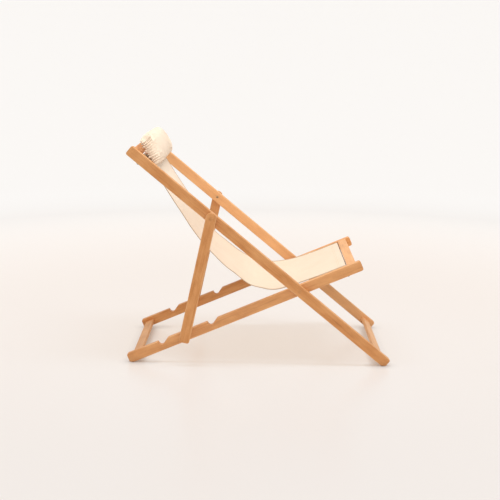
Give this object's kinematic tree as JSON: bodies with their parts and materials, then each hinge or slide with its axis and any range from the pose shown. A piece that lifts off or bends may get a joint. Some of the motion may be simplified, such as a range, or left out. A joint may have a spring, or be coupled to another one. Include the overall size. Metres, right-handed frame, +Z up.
{
  "type": "garden chair",
  "caption": "Folding wooden deck chair with a cream canvas sling, a stuffed headrest pillow and a prop frame whose bar drops into notches in the seat rails.",
  "frame": {"origin": "centre of the chair's bounding box seen from above, at floor level", "axes": "+X to the front, where the sitter's feet go; +Y to the sitter's left; +Z up"},
  "size_m": [1.0096, 0.6, 0.8737],
  "materials": {
    "oiled_wood": "satin",
    "rod_wood": "satin",
    "plug_wood": "satin",
    "canvas": "matte",
    "pillow_cover": "matte",
    "steel": "satin",
    "dark_rubber": "matte"
  },
  "bodies": {
    "seat_frame": {"seat_rail_right": "oiled_wood", "seat_rail_left": "oiled_wood", "seat_front_slat": "oiled_wood", "seat_rear_slat": "oiled_wood", "front_rod": "rod_wood", "front_rod_screws": "steel", "rear_foot_glides": "dark_rubber"},
    "back_frame": {"back_rail_right": "oiled_wood", "back_rail_left": "oiled_wood", "head_slat": "oiled_wood", "foot_slat": "oiled_wood", "head_rod": "rod_wood", "head_rod_screws": "steel", "front_foot_glides": "dark_rubber", "main_pivot_bolts": "steel", "main_pivot_sleeve_nuts": "steel", "main_pivot_washers": "steel", "main_pivot_plugs": "plug_wood", "sling": "canvas", "headrest_pillow": "pillow_cover"},
    "prop_frame": {"prop_leg_right": "oiled_wood", "prop_leg_left": "oiled_wood", "prop_bar": "oiled_wood", "prop_pivot_bolts": "steel", "prop_pivot_sleeve_nuts": "steel", "prop_pivot_washers": "steel", "prop_pivot_plugs": "plug_wood"}
  },
  "joints": [
    {"name": "main_pivot", "type": "hinge", "parent": "seat_frame", "child": "back_frame", "pos_m": [0.15603, 0, 0.29166], "axis": [0, 1, 0], "range_deg": [0, 111], "deforming": ["sling"]},
    {"name": "prop_pivot", "type": "hinge", "parent": "back_frame", "child": "prop_frame", "pos_m": [-0.17897, 0, 0.57072], "axis": [0, 1, 0], "range_deg": [-55.5, 0]}
  ],
  "couplings": [
    {"joint": "prop_pivot", "follows": "main_pivot", "ratio": -0.5}
  ]
}
